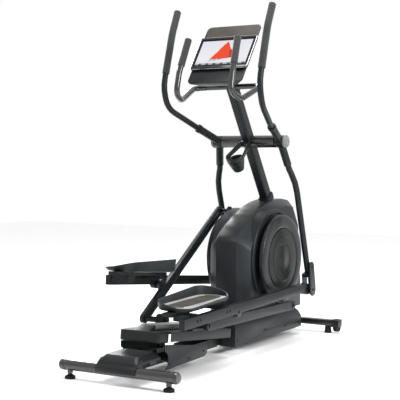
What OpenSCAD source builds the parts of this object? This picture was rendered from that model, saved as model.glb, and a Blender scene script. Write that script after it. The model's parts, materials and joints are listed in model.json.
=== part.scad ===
// Elliptical trainer: front drive housing, rear incline ramp, swinging arms.
// Units are millimetres, +Z is up, +Y points to the drive housing and
// +X is the user's right. Lengths along Y are measured forward from the
// rear stabiliser's axis and moved to the middle of the machine at the end.

/* [Overall] */
// Distance between the rear and front stabilisers
wheelbase = 1700; // [1650:5:1800]
// Overall length of each stabiliser with its end caps
stabiliser_length = 622; // [560:2:700]
// Number of facets on round parts
round_facets = 64; // [32:8:128]

/* [Stabilisers] */
// Diameter of the rear stabiliser tube
rear_tube_d = 49; // [38:1:60]
// Height of the rear stabiliser's axis
rear_tube_z = 61; // [50:1:75]
// Depth of the front stabiliser section along Y
front_bar_depth = 48; // [40:1:60]
// Height of the front stabiliser section
front_bar_height = 36; // [30:1:44]
// Height of the front stabiliser's axis
front_bar_z = 58; // [50:1:70]
// Length of each end cap
cap_length = 34; // [20:1:45]
// Distance of a levelling foot from the stabiliser's end
foot_inset = 49; // [40:1:80]
// Distance of a front foot from the stabiliser's end
front_foot_inset = 73; // [65:1:90]
// Diameter of a levelling foot
foot_d = 48; // [36:1:60]
// Diameter of the levelling foot's threaded stem
foot_stem_d = 12; // [8:1:16]
// Diameter of a transport wheel
wheel_d = 72; // [60:1:80]
// Width of a transport wheel
wheel_width = 22; // [16:1:24]
// How far the wheel axle sits ahead of the front stabiliser
wheel_ahead = 14; // [8:1:20]
// Height of a wheel above the floor while the machine stands
wheel_lift = 7; // [4:1:12]

/* [Frame and covers] */
// Width of the central beam
beam_width = 60; // [50:2:80]
// Height of the central beam
beam_height = 50; // [40:2:60]
// Underside of the central beam
beam_z = 46; // [40:1:60]
// Half width of the lower side covers
cover_half_width = 120; // [114:1:130]
// Thickness of the moulded covers
cover_wall = 4; // [3:0.5:6]

/* [Ramp] */
// Place of the ramp hinge forward of the rear stabiliser
ramp_hinge_y = 800; // [780:5:820]
// Height of the ramp hinge
ramp_hinge_z = 110; // [100:1:120]
// Slope of the ramp at rest, in degrees
ramp_angle = 6.5; // [5:0.5:8]
// Length of the ramp from its hinge to the rear cap
ramp_length = 570; // [550:5:590]
// Half width of the ramp
ramp_half_width = 126; // [122:1:130]
// Height of the track surface over the hinge line
track_height = 32; // [30:1:36]
// Height of the ramp's side skirts
skirt_height = 44; // [36:1:50]
// Width of the raised centre strip
strip_width = 84; // [60:2:100]
// Length of the rear end cap
end_cap_reach = 84; // [70:2:100]

/* [Linkage] */
// Place of the crank axle forward of the rear stabiliser
crank_y = 1270; // [1250:5:1290]
// Height of the crank axle
crank_z = 449; // [440:1:460]
// Crank radius
crank_radius = 250; // [240:1:258]
// Angle of the right crank forward of straight down, in degrees
crank_angle = 8; // [0:1:20]
// Place of the swing arm pivot forward of the rear stabiliser
pivot_y = 1207; // [1195:1:1220]
// Height of the swing arm pivot
pivot_z = 1067; // [1055:1:1080]
// Roller arm length between roller axle and crank pin
roller_arm_length = 880; // [860:5:900]
// Joint of the pedal arm along the roller arm
mid_joint_along = 210; // [200:5:230]
// Joint of the pedal arm above the roller arm
mid_joint_above = 42; // [38:1:48]
// Pedal arm length between its two joints
pedal_link_length = 795; // [785:5:805]
// Leg length between its two joints
leg_length = 825; // [815:5:835]
// Diameter of a ramp roller
roller_d = 60; // [50:1:64]
// Width of a ramp roller
roller_width = 42; // [34:1:46]

/* [Arms and pedals] */
// Diameter of the swinging arm tube
arm_tube_d = 30; // [26:1:34]
// Diameter of the hand grips
grip_d = 38; // [34:1:42]
// Height of the pedal and roller bars
bar_height = 46; // [40:1:50]
// Width of the roller arm bar
roller_bar_width = 24; // [20:1:26]
// Width of the pedal arm bar
pedal_bar_width = 28; // [24:1:30]
// Inner face of the roller arm
roller_bar_x = 190; // [188:1:194]
// Gap between the roller arm and the pedal arm
bar_gap = 11; // [9:1:13]
// Length of a pedal
pedal_length = 430; // [360:5:450]
// Width of a pedal
pedal_width = 185; // [160:5:190]
// Thickness of the pedal pad
pad_thickness = 12; // [8:1:16]
// Diameter of the linkage pins
pin_d = 20; // [16:1:24]
// Radial clearance of a turning fit
fit = 0.05; // [0.02:0.01:0.1]
// Clearance between parts that pass each other
pass_gap = 1.5; // [1:0.1:2]

/* [Drive] */
// Outer diameter of the crank disc
disc_d = 464; // [440:2:470]
// Diameter of the disc's inner cover
disc_cover_d = 324; // [300:2:340]
// Outer face of the crank disc
disc_x = 170; // [166:1:174]
// Diameter of the large drive pulley
pulley_d = 330; // [300:5:340]
// Diameter of the flywheel
flywheel_d = 250; // [220:5:260]
// Width of the flywheel rim
flywheel_width = 44; // [36:1:50]
// Place of the flywheel axle ahead of the crank axle
flywheel_ahead = 150; // [140:5:155]
// Height of the flywheel axle
flywheel_z = 250; // [240:5:260]

/* [Post and console] */
// Width of the upright post
post_width = 50; // [44:1:56]
// Depth of the upright post
post_depth = 62; // [54:1:70]
// Lean of the upright post from vertical, in degrees
post_lean = 33.2; // [31:0.2:35]
// Diameter of the cross bar
crossbar_d = 65; // [58:1:70]
// Half length of the cross bar's wide part
crossbar_half = 155; // [145:1:160]
// Screen width
screen_width = 310; // [280:2:330]
// Screen height
screen_height = 174; // [160:2:190]
// Tilt of the console from vertical, in degrees
console_tilt = 35.8; // [30:0.2:40]
// Diameter of the fixed handlebar
handlebar_d = 29; // [26:1:32]
// Inner diameter of the bottle cup
bottle_d = 80; // [72:1:84]

/* [Hidden] */
$fn = round_facets;

eps = 0.01;

// Middle of the machine: the ramp's cap ends it at the rear, or else the
// cover over the stabiliser, and the transport wheels end it in front.
ramp_low = track_height - skirt_height - 6;
cap_tail = ramp_hinge_y - (ramp_length + end_cap_reach) * cos(ramp_angle)
           + ramp_low * sin(ramp_angle);
rear_reach = max(rear_tube_d / 2 + cover_wall, foot_d / 2, -cap_tail);
front_reach = wheel_ahead + wheel_d / 2;
mid_y = (wheelbase + front_reach - rear_reach) / 2;

// ---- Linkage, solved at rest in the YZ plane ------------------------------
function unit(v) = v / norm(v);
function left_of(v) = [-v[1], v[0]];
// Point at distance ra from a and rb from b, on the given side of a-b.
function meet(a, ra, b, rb, side) =
    let (d = norm(b - a), e = (b - a) / d,
         x = (d * d + ra * ra - rb * rb) / (2 * d),
         h = sqrt(ra * ra - x * x))
    a + e * x + left_of(e) * h * side;

crank_c = [crank_y, crank_z];
pivot_c = [pivot_y, pivot_z];
hinge_c = [ramp_hinge_y, ramp_hinge_z];
ramp_back = [-cos(ramp_angle), sin(ramp_angle)];
ramp_up = [sin(ramp_angle), cos(ramp_angle)];
// The rollers stand this little over the track.
roller_gap = 0.3;
roller_line = hinge_c + ramp_up * (track_height + roller_d / 2 + roller_gap);

function crank_pin(a) = crank_c + crank_radius * [sin(a), -cos(a)];
function roller_at(a) =
    let (o = roller_line - crank_pin(a), b = o * ramp_back,
         c = o * o - roller_arm_length * roller_arm_length)
    roller_line + ramp_back * (-b + sqrt(b * b - c));
function mid_joint(a) =
    let (e = unit(crank_pin(a) - roller_at(a)))
    roller_at(a) + e * mid_joint_along + left_of(e) * mid_joint_above;
function foot_joint(a) =
    meet(mid_joint(a), pedal_link_length, pivot_c, leg_length, -1);

// Crank angle of each side: 1 is the right side, -1 the left.
function side_angle(s) = crank_angle + (s > 0 ? 0 : 180);
function slope(p, q) = atan2(q[1] - p[1], q[0] - p[0]);
function leg_turn(s) =
    let (b = foot_joint(side_angle(s)))
    atan2(b[0] - pivot_c[0], pivot_c[1] - b[1]);
function pedal_turn(s) = slope(mid_joint(side_angle(s)),
                               foot_joint(side_angle(s)));
function roller_turn(s) = slope(roller_at(side_angle(s)),
                                crank_pin(side_angle(s)));

// ---- Places worked out from the sizes above --------------------------------
pedal_bar_x = roller_bar_x + roller_bar_width + bar_gap;
leg_x = pedal_bar_x + pedal_bar_width / 2;
clevis_wall = 6;
shaft_d = 28;
hub_inner_x = crossbar_half + 4;
hub_outer_x = 204;
end_cap_d = crossbar_d + 1;
wheel_x = stabiliser_length / 2 - 14 - wheel_width / 2;
wheel_z = wheel_d / 2 + wheel_lift;
foot_x = stabiliser_length / 2 - foot_inset;
front_foot_x = stabiliser_length / 2 - front_foot_inset;
foot_stem_top = rear_tube_z - rear_tube_d / 2 + 4;
disc_thickness = 22;
arm_plate = 14;
arm_x = disc_x - disc_thickness - 4 - arm_plate;
housing_half = 118;
spine_half = 57;
housing_wall = 3;
roller_x = 76;
strip_rise = 26;
// Upright post: its centre line passes behind the cross bar.
post_dir = [-sin(post_lean), cos(post_lean)];
post_through = pivot_c + [-5, -2];
post_below = 430;
post_above = 275;
post_top = post_through + post_dir * post_above;
post_base = post_through - post_dir * post_below;
// Console centre, just ahead of the bars.
console_c = [934, 1512];

// ---- Helpers ----------------------------------------------------------------
module at_middle() { translate([0, -mid_y, 0]) children(); }
module sided(s) {
    if (s > 0) children();
    else mirror([1, 0, 0]) children();
}
module both_sides() {
    children();
    mirror([1, 0, 0]) children();
}
// Turns a flat (along, up) drawing so that it stands in the YZ plane,
// with its thickness from x upwards.
module stand(x, t) {
    translate([x, 0, 0]) rotate([90, 0, 90])
        linear_extrude(t) children();
}
// Places a local linkage frame: along is the joint line, up is its left.
module on_link(p, turn) {
    translate([0, p[0], p[1]]) rotate([turn, 0, 0]) children();
}
module x_cyl(x, len, d) {
    translate([x, 0, 0]) rotate([0, 90, 0]) cylinder(d = d, h = len);
}
module yz_cyl(p, x, len, d) {
    translate([0, p[0], p[1]]) x_cyl(x, len, d);
}
// Straight round bar between two points.
module rod(p, q, d) {
    v = q - p;
    l = norm(v);
    translate(p)
        rotate([0, acos(v[2] / l), atan2(v[1], v[0])])
            cylinder(d = d, h = l);
}
// Angle through which a path turns at corner i.
function turn_at(pts, i) =
    acos(unit(pts[i] - pts[i - 1]) * unit(pts[i + 1] - pts[i]));
// Centre line of a tube that runs through a list of corners and is bent on
// a former at each inner one. bends holds the bend radii.
function bent_path(pts, bends) = concat([pts[0]],
    [for (i = [1 : len(pts) - 2])
        let (u = unit(pts[i] - pts[i - 1]), v = unit(pts[i + 1] - pts[i]),
             w = unit(v - u * (u * v)), r = bends[i - 1],
             turn = turn_at(pts, i), n = max(2, ceil(turn / 12)),
             c = pts[i] - u * r * tan(turn / 2) + w * r)
        for (k = [0 : n]) let (a = turn * k / n)
            c + r * (u * sin(a) - w * cos(a))],
    [pts[len(pts) - 1]]);
// Direction of a path at each of its points.
function headings(p) = [for (i = [0 : len(p) - 1])
    unit(p[min(i + 1, len(p) - 1)] - p[max(i - 1, 0)])];
// Side direction at each point, carried along without twisting.
function carried(h, i, first) = i == 0 ? [first] :
    let (before = carried(h, i - 1, first), m = before[i - 1])
    concat(before, [unit(m - h[i] * (m * h[i]))]);
// Bent tube as one swept solid.
module bent_tube(pts, d, bends, sides = 20) {
    p = bent_path(pts, bends);
    n = len(p);
    h = headings(p);
    side = carried(h, n - 1, unit(cross(h[0], [0.3, 0.9, 0.3])));
    rings = [for (i = [0 : n - 1], k = [0 : sides - 1])
        let (a = 360 * k / sides)
        p[i] + d / 2 * (side[i] * cos(a) + cross(h[i], side[i]) * sin(a))];
    walls = [for (i = [0 : n - 2], k = [0 : sides - 1])
        let (q = (k + 1) % sides, a = i * sides + k, b = i * sides + q)
        each [[a, a + sides, b], [b, a + sides, b + sides]]];
    polyhedron(rings, concat(walls, [[for (k = [0 : sides - 1]) k],
        [for (k = [sides - 1 : -1 : 0]) (n - 1) * sides + k]]));
}
// Points of a shallow arc from p to q with the given rise to its left.
function arc(p, q, rise, n) =
    let (h = norm(q - p) / 2, e = unit(q - p), m = left_of(e),
         r = (h * h + rise * rise) / (2 * rise),
         c = (p + q) / 2 + m * (rise - r), w = asin(h / r))
    [for (i = [0 : n]) let (a = -w + 2 * w * i / n)
        c + m * r * cos(a) + e * r * sin(a)];
module rounded(w, h, r) {
    for (x = [-1, 1], y = [-1, 1])
        translate([x * (w / 2 - r), y * (h / 2 - r)]) circle(r);
    square([w - 2 * r, h], center = true);
    square([w, h - 2 * r], center = true);
}

// ---- Stabilisers, feet and wheels -------------------------------------------
module rear_stabiliser() {
    color("black") at_middle() difference() {
        union() {
            yz_cyl([0, rear_tube_z], -stabiliser_length / 2 + cap_length,
                   stabiliser_length - 2 * cap_length, rear_tube_d);
            // Weld nuts that take the levelling feet
            for (s = [-1, 1]) translate([s * foot_x, 0, 24])
                cylinder(d = 26, h = rear_tube_z - 24 - rear_tube_d / 4);
        }
        for (s = [-1, 1]) translate([s * foot_x, 0, 0])
            cylinder(d = foot_stem_d + 2 * fit, h = foot_stem_top + 1);
    }
}

module front_stabiliser() {
    color("black") at_middle()
        translate([-stabiliser_length / 2 + 2 * wheel_width, wheelbase, front_bar_z])
            rotate([90, 0, 90])
                linear_extrude(stabiliser_length - 4 * wheel_width)
                    rounded(front_bar_depth, front_bar_height, 12);
}

module tube_end_caps() {
    color("dimgray") at_middle() {
        both_sides() {
            // Rear stabiliser
            translate([stabiliser_length / 2 - cap_length, 0, rear_tube_z])
                x_cyl(0, cap_length - 8, rear_tube_d + 3);
            translate([stabiliser_length / 2 - 8, 0, rear_tube_z])
                rotate([0, 90, 0])
                    cylinder(d1 = rear_tube_d + 3, d2 = rear_tube_d - 6, h = 8);
            // Cross bar
            yz_cyl(pivot_c, hub_outer_x + pass_gap, 12, end_cap_d);
            yz_cyl(pivot_c, hub_outer_x + pass_gap + 12, 4, end_cap_d - 8);
        }
    }
}

module wheel_forks() {
    cheek = 8;
    color("dimgray") at_middle() both_sides()
        difference() {
            union() {
                translate([stabiliser_length / 2 - 2 * wheel_width,
                           wheelbase - front_bar_depth / 2 - 2, front_bar_z - 21])
                    cube([2 * wheel_width, front_bar_depth + 4, 40]);
                yz_cyl([wheelbase + wheel_ahead, wheel_z],
                       wheel_x - wheel_width / 2 - cheek,
                       wheel_width + 2 * cheek + 1, 30);
            }
            // Slot in which the wheel turns
            yz_cyl([wheelbase + wheel_ahead, wheel_z],
                   wheel_x - wheel_width / 2 - 1, wheel_width + 2,
                   wheel_d + 8);
        }
    color("dimgray") at_middle() both_sides()
        yz_cyl([wheelbase + wheel_ahead, wheel_z],
               wheel_x - wheel_width / 2 - cheek,
               wheel_width + 2 * cheek + 1, 10);
}

module front_feet() {
    color("black") at_middle() both_sides()
        translate([front_foot_x, wheelbase, 0])
            cylinder(d1 = 40, d2 = 34, h = front_bar_z - front_bar_height / 2);
}

module levelling_foot(s) {
    color("black") at_middle() translate([s * foot_x, 0, 0]) {
        cylinder(d = foot_d, h = 12);
        translate([0, 0, 12]) cylinder(d1 = foot_d - 6, d2 = 22, h = 8);
        cylinder(d = foot_stem_d, h = foot_stem_top);
    }
}
module levelling_foot_left() { levelling_foot(-1); }
module levelling_foot_right() { levelling_foot(1); }

module transport_wheel(s) {
    color("gray") at_middle() sided(s)
        translate([0, wheelbase + wheel_ahead, wheel_z])
            difference() {
                x_cyl(wheel_x - wheel_width / 2, wheel_width, wheel_d);
                x_cyl(wheel_x - wheel_width, 2 * wheel_width, 10 + 2 * fit);
                for (x = [wheel_x - wheel_width / 2 - 1,
                          wheel_x + wheel_width / 2 - 3])
                    translate([x, 0, 0]) difference() {
                        x_cyl(0, 4, wheel_d - 16);
                        x_cyl(-1, 6, 22);
                    }
            }
}
module transport_wheel_left() { transport_wheel(-1); }
module transport_wheel_right() { transport_wheel(1); }

// ---- Frame -------------------------------------------------------------------
mast_y = crank_y + flywheel_ahead;
mast_half = 34;
mast_plate = 10;
mast_top = 690;

module base_frame() {
    color("darkslategray") at_middle() {
        difference() {
            translate([-beam_width / 2, 8, beam_z])
                cube([beam_width, wheelbase - 16, beam_height]);
            // The stabilisers are let into the beam
            yz_cyl([0, rear_tube_z], -beam_width, 2 * beam_width, rear_tube_d);
            translate([-beam_width, wheelbase, front_bar_z]) rotate([90, 0, 90])
                linear_extrude(2 * beam_width)
                    rounded(front_bar_depth, front_bar_height, 12);
        }
        // Side rails between the covers
        both_sides() translate([beam_width / 2, 540, beam_z + 4])
            cube([24, 230, beam_height - 6]);
        // Ramp hinge block and pin
        translate([-24, ramp_hinge_y - 16, beam_z + beam_height - eps])
            cube([48, 32, ramp_hinge_z + 12 - beam_z - beam_height]);
        yz_cyl(hinge_c, -62, 124, 16);
        // Mast plates that carry the crank and the flywheel
        both_sides() difference() {
            stand(mast_half, mast_plate) difference() {
                union() {
                    polygon([[mast_y - 34, beam_z + 10], [mast_y + 34, beam_z + 10],
                             [mast_y + 34, mast_top], [mast_y - 26, mast_top],
                             [mast_y - 34, crank_z + 60]]);
                    translate([crank_y, crank_z - 45])
                        square([flywheel_ahead, 90]);
                    translate(crank_c) circle(d = 90);
                }
                translate(crank_c) circle(d = 62);
                translate([mast_y, flywheel_z]) circle(d = 30);
            }
        }
        // Tie plates to the beam and across the top of the mast
        both_sides() translate([beam_width / 2 - eps, mast_y - 34, beam_z + 10])
            cube([mast_half - beam_width / 2 + 2 * eps, 68, 30]);
        translate([-mast_half - eps, mast_y - 20, mast_top - 40])
            cube([2 * mast_half + 2 * eps, 48, 40]);
    }
}

module crank_bearings() {
    color("silver") at_middle() difference() {
        union() {
            both_sides() yz_cyl(crank_c, mast_half, mast_plate, 62);
            yz_cyl(crank_c, -mast_half - mast_plate - 3,
                   2 * (mast_half + mast_plate + 3), 56);
        }
        yz_cyl(crank_c, -100, 200, shaft_d + 2 * fit);
    }
}

// Front edge and thickness of the lift brackets
bracket_y = 250;
bracket_t = 6;
bracket_r = 56;
module lift_motor() {
    color("black") at_middle() {
        translate([beam_width / 2 + 32, 300, beam_z + 34]) rotate([-90, 0, 0]) {
            cylinder(d = 56, h = 120);
            translate([0, 0, 120]) cylinder(d = 40, h = 26);
        }
        translate([beam_width / 2, 330, beam_z + 14]) cube([12, 60, 30]);
        // Quarter-round lift brackets below the ramp's end
        both_sides() stand(beam_width / 2, bracket_t) difference() {
            intersection() {
                translate([bracket_y, beam_z + 18]) circle(r = bracket_r);
                translate([bracket_y - bracket_r - 1, beam_z + 10])
                    square([bracket_r + 1, bracket_r + 20]);
            }
            translate([bracket_y - 16, beam_z + 60]) circle(d = 10);
        }
    }
}

module power_inlet() {
    color("black") at_middle()
        translate([-30, 1598, 100]) difference() {
            cube([60, 10, 34]);
            translate([6, 4, 5]) cube([28, 10, 24]);
            translate([39, 6, 9]) cube([16, 10, 16]);
        }
    color("red") at_middle() translate([-30 + 40, 1602, 110]) cube([14, 5, 14]);
}

// ---- Covers --------------------------------------------------------------------
module rear_frame_cover() {
    top_z = 125;
    color("dimgray") at_middle() difference() {
        union() {
            hull() {
                translate([0, 90, 90]) linear_extrude(10) rounded(210, 200, 16);
                translate([0, 96, top_z - 4]) linear_extrude(4) rounded(170, 150, 20);
            }
            // Hump over the stabiliser
            hull() {
                yz_cyl([0, rear_tube_z], -105, 210, rear_tube_d + 2 * cover_wall);
                translate([-100, 10, 92]) cube([200, 30, 20]);
            }
        }
        yz_cyl([0, rear_tube_z], -120, 240, rear_tube_d + 0.6);
        translate([-beam_width / 2 - 0.5, 0, 0])
            cube([beam_width + 1, 360, beam_z + beam_height + 0.5]);
        translate([-150, -100, 0]) cube([300, 400, rear_tube_z - 8]);
        // Hollow underneath
        translate([-80, 32, 40]) cube([160, 130, top_z - 40 - cover_wall]);
    }
}

module rear_side_covers() {
    color("dimgray") at_middle() both_sides() {
        stand(cover_half_width - cover_wall, cover_wall) difference() {
            polygon([[190, 40], [530, 48], [560, 60], [560, 100],
                     [470, 112], [190, 156]]);
            // Concave rear edge
            translate([176, 84]) circle(r = 44);
        }
        // Spacers to the beam
        for (y = [260, 500])
            yz_cyl([y, 76], beam_width / 2, cover_half_width - cover_wall
                   - beam_width / 2, 14);
    }
}

front_cover_y = 835;
front_cover_end = 1598;
module front_side_covers() {
    color("dimgray") at_middle() difference() {
        stand(-cover_half_width, 2 * cover_half_width)
            polygon(concat([[front_cover_y, 42], [front_cover_y, 160],
                            [1480, 160]],
                           arc([1480, 160], [front_cover_end, 100], 14, 8),
                           [[front_cover_end, 42]]));
        translate([-cover_half_width + cover_wall, front_cover_y + cover_wall, 0])
            cube([2 * (cover_half_width - cover_wall),
                  front_cover_end - front_cover_y - 2 * cover_wall, 300]);
        translate([-beam_width / 2 - 0.5, 0, 0])
            cube([beam_width + 1, 2000, beam_z + beam_height + 0.5]);
        // Bolt holes
        both_sides() yz_cyl([1165, 84], 100, 40, 12);
    }
}

housing_z = 162;
// Outline of the housing seen from the side.
function spine_outline(g) = concat(
    [[953 + g, housing_z], [953 + g, 548]],
    arc([958 + g, 562 - g / 2], [1396, 752 - g], 38, 14),
    [[1470, 757 - g], [1548 - g, 746 - g], [1566 - g, 700]],
    arc([1572 - g, 690], [1598 - g, housing_z], 16, 8));

module housing_spine() {
    color("darkslategray") at_middle() difference() {
        union() {
            difference() {
                stand(-spine_half, 2 * spine_half) polygon(spine_outline(0));
                stand(-spine_half - 1, 2 * spine_half + 2)
                    polygon(spine_outline(housing_wall + 1));
                translate([-spine_half - 1, 960, housing_z - 5])
                    cube([2 * spine_half + 2, 620, 12]);
            }
            // Collar round the post
            on_post() translate([0, 0, 52]) linear_extrude(34)
                rounded(post_width + 14, post_depth + 14, 14);
        }
        on_post() linear_extrude(400)
            rounded(post_width + 0.8, post_depth + 0.8, 12);
        // Room for the mast plates where the housing is narrow
        translate([-mast_half - mast_plate - 1, mast_y - 40, 0])
            cube([2 * (mast_half + mast_plate + 1), 90, mast_top + 4]);
    }
}

module housing_shell(s, g) {
    hull() {
        stand(spine_half, 1) polygon(spine_outline(g));
        stand(housing_half - 1 - g, 1) polygon(concat(
            [[1002 + g, housing_z], [1002 + g, 505]],
            arc([1010 + g, 530], [1400, 722 - g], 34, 10),
            [[1490 - g, 712 - g], [1556 - g, 610], [1588 - g, 300],
             [1590 - g, housing_z]]));
    }
}
module housing_side(s) {
    color("slategray") at_middle() sided(s) difference() {
        housing_shell(s, 0);
        translate([-0.5, 0, 0]) housing_shell(s, housing_wall + 0.5);
        translate([spine_half - 2, 980, housing_z - 20])
            cube([housing_half - spine_half - 4, 590, 30]);
        yz_cyl(crank_c, 40, 100, shaft_d + 24);
    }
}
module housing_left() { housing_side(-1); }
module housing_right() { housing_side(1); }

// ---- Ramp -----------------------------------------------------------------------
module on_ramp() { on_link(hinge_c, -ramp_angle) children(); }

module ramp_deck() {
    top = track_height;
    color("dimgray") at_middle() on_ramp() difference() {
        union() {
            translate([-ramp_half_width, -ramp_length, top - skirt_height])
                cube([2 * ramp_half_width, ramp_length - 22, skirt_height]);
            both_sides() {
                translate([26, -40, -10]) cube([32, 40, 20]);
                x_cyl(26, 32, 28);
            }
        }
        // Open underneath
        translate([-ramp_half_width + cover_wall, -ramp_length - 1,
                   top - skirt_height - 1])
            cube([2 * (ramp_half_width - cover_wall), ramp_length - 44,
                  skirt_height - 6]);
        x_cyl(-100, 200, 16 + 2 * fit);
        // Clears the hinge block
        translate([-25, -45, -60]) cube([50, 100, 73]);
    }
}

module ramp_strip() {
    color("silver") at_middle() on_ramp()
        translate([-strip_width / 2, -ramp_length, track_height])
            rotate([90, 0, 90]) linear_extrude(strip_width)
                polygon([[0, 0], [0, strip_rise], [ramp_length - 150, strip_rise],
                         [ramp_length - 90, 0]]);
}

cap_half_width = ramp_half_width - 20;
cap_front = cover_half_width - cover_wall - pass_gap - 1;
module ramp_end_cap() {
    reach = end_cap_reach;
    color("black") at_middle() on_ramp() {
        difference() {
            translate([0, -ramp_length - reach / 2, ramp_low])
                linear_extrude(track_height - ramp_low) hull() {
                    for (x = [-1, 1])
                        translate([x * (cap_half_width - 26), 26 - reach / 2])
                            circle(26);
                    // Passes between the side covers when the ramp is low
                    translate([-cap_front, reach / 2 - 10])
                        square([2 * cap_front, 10]);
                }
            translate([-cap_half_width + 14, -ramp_length - reach + 20,
                       ramp_low - 4])
                cube([2 * cap_half_width - 28, reach, skirt_height - 2]);
        }
        // Ridge that meets the centre strip
        translate([-strip_width / 2, -ramp_length - reach + 26,
                   track_height - eps])
            rotate([90, 0, 90]) linear_extrude(strip_width)
                polygon([[0, 0], [reach - 26, 0], [reach - 26, strip_rise]]);
    }
}

// ---- Drive ----------------------------------------------------------------------
module at_crank() { translate([0, crank_y, crank_z]) children(); }

module crank_axle() {
    color("silver") at_middle() at_crank()
        x_cyl(-arm_x, 2 * arm_x, shaft_d);
}

// Teardrop plate: a round hub with straight sides to the pin.
module crank_arm(s) {
    hub_r = 178;
    tip_r = 23;
    w = acos((hub_r - tip_r) / crank_radius);
    a = side_angle(s) - 90;
    color("darkslategray") at_middle() sided(s) at_crank() {
        stand(arm_x, arm_plate) rotate(a) {
            circle(r = hub_r);
            translate([crank_radius, 0]) circle(r = tip_r);
            polygon([hub_r * [cos(w), sin(w)],
                     [crank_radius + tip_r * cos(w), tip_r * sin(w)],
                     [crank_radius + tip_r * cos(w), -tip_r * sin(w)],
                     hub_r * [cos(w), -sin(w)], [0, 0]]);
        }
        rotate([a, 0, 0]) translate([0, crank_radius, 0])
            x_cyl(arm_x + arm_plate, roller_bar_x - pass_gap - arm_x - arm_plate,
                  pin_d);
        x_cyl(arm_x + arm_plate, 4, 80);
    }
}
module crank_arm_left() { crank_arm(-1); }
module crank_arm_right() { crank_arm(1); }

module crank_discs() {
    color("gray") at_middle() at_crank() both_sides() difference() {
        union() {
            x_cyl(disc_x - disc_thickness, disc_thickness - 6, disc_d);
            translate([disc_x - 6, 0, 0]) rotate([0, 90, 0])
                cylinder(d1 = disc_d, d2 = disc_d - 14, h = 6);
        }
        x_cyl(disc_x - 10, 20, disc_cover_d);
    }
}

module disc_covers() {
    color("black") at_middle() at_crank() both_sides() {
        x_cyl(disc_x - 10, 9, disc_cover_d - 1);
        x_cyl(disc_x - 1, 3, disc_cover_d - 70);
    }
}

module drive_pulley() {
    color("dimgray") at_middle() at_crank() difference() {
        x_cyl(50, 18, pulley_d);
        for (i = [0 : 5]) rotate([i * 60, 0, 0]) translate([0, 95, 0])
            x_cyl(40, 40, 62);
        x_cyl(40, 40, shaft_d);
    }
}

module flywheel() {
    color("gray") at_middle() translate([0, mast_y, flywheel_z]) {
        difference() {
            x_cyl(-flywheel_width / 2, flywheel_width, flywheel_d);
            for (x = [-flywheel_width / 2 - 1, 8])
                x_cyl(x, flywheel_width / 2 - 7, flywheel_d - 44);
        }
        x_cyl(-mast_half - mast_plate - 2, 114, 18);
        x_cyl(50, 18, 44);
    }
}

module drive_belt() {
    color("black") at_middle() stand(52, 14) difference() {
        hull() {
            translate(crank_c) circle(d = pulley_d + 7);
            translate([mast_y, flywheel_z]) circle(d = 51);
        }
        hull() {
            translate(crank_c) circle(d = pulley_d + 1);
            translate([mast_y, flywheel_z]) circle(d = 45);
        }
    }
}

// ---- Post, bars and bottle holder ------------------------------------------------
module on_post() {
    translate([0, post_base[0], post_base[1]]) rotate([post_lean, 0, 0])
        children();
}
post_length = 835;
console_hinge = post_through + post_dir * 430;
bar_y = 1013;
bar_z = 1345;

module upright_post() {
    color("darkslategray") at_middle() {
        difference() {
            on_post() difference() {
                linear_extrude(post_length) rounded(post_width, post_depth, 12);
                translate([0, 0, 6]) linear_extrude(post_length - 12)
                    rounded(post_width - 5, post_depth - 5, 10);
            }
            yz_cyl([bar_y, bar_z], -100, 200, handlebar_d + 0.4);
            // Sits on the mast
            translate([-100, mast_y - 200, 0]) cube([200, 400, mast_top]);
        }
        // Ears of the console hinge
        both_sides() on_post()
            translate([17.5, -15, post_length - 2]) cube([5, 30, 24]);
        both_sides() yz_cyl(console_hinge, 17, 6, 36);
        yz_cyl(console_hinge, -22, 44, 12);
    }
}

module crossbar() {
    color("black") at_middle() {
        // One half each side, welded to the post's side
        both_sides() {
            yz_cyl(pivot_c, post_width / 2, crossbar_half - post_width / 2,
                   crossbar_d);
            yz_cyl(pivot_c, crossbar_half - 1, hub_outer_x + pass_gap
                   - crossbar_half + 1, shaft_d);
        }
    }
}

// Distance from the post's rear face to the middle of the cup
holder_reach = 141;
module bottle_holder() {
    wall = 3;
    r = bottle_d / 2 + 4;
    low = -78;
    color("black") at_middle() on_post()
        translate([0, -post_depth / 2 - holder_reach, 447]) difference() {
            union() {
                // Band that runs forward to the post
                translate([0, 0, -12]) linear_extrude(24) hull() {
                    circle(r + wall);
                    translate([-28, holder_reach - 20]) square([56, 20]);
                }
                // Tapered cup
                translate([0, 0, low])
                    cylinder(r1 = 26, r2 = r + wall - 0.3, h = -low - 11);
            }
            translate([0, 0, -12.5]) linear_extrude(40) hull() {
                circle(r);
                translate([-20, holder_reach - 30]) square([40, 10]);
            }
            translate([0, 0, low + wall])
                cylinder(r1 = 23, r2 = r - 0.3, h = -low - 11 - wall);
        }
}

grip_low = [150, 764, 1442];
grip_high = [142, 815, 1564];
module fixed_handlebar() {
    color("black") at_middle() {
        side = [grip_low, grip_low - unit(grip_high - grip_low) * 40,
                [154, 722, 1300], [172, 802, 1270],
                [195, 960, 1338], [150, bar_y, bar_z]];
        bent_tube(concat(side, [for (i = [len(side) - 1 : -1 : 0])
                                [-side[i][0], side[i][1], side[i][2]]]),
                  handlebar_d, [90, 45, 60, 45, 45, 45, 45, 60, 45, 90]);
    }
}

module handlebar_grips() {
    color("black") at_middle() both_sides() {
        rod(grip_low, grip_high, 36);
        translate(grip_high) sphere(d = 35.4);
    }
}

// ---- Console -----------------------------------------------------------------------
module on_console() {
    translate([0, console_c[0], console_c[1]]) rotate([-console_tilt, 0, 0])
        children();
}
// A plate across the console: width, from z to z, with thickness along Y.
module console_plate(w, z0, z1, y, t, r) {
    translate([0, y + t, (z0 + z1) / 2]) rotate([90, 0, 0])
        linear_extrude(t) rounded(w, z1 - z0, r);
}

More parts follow.
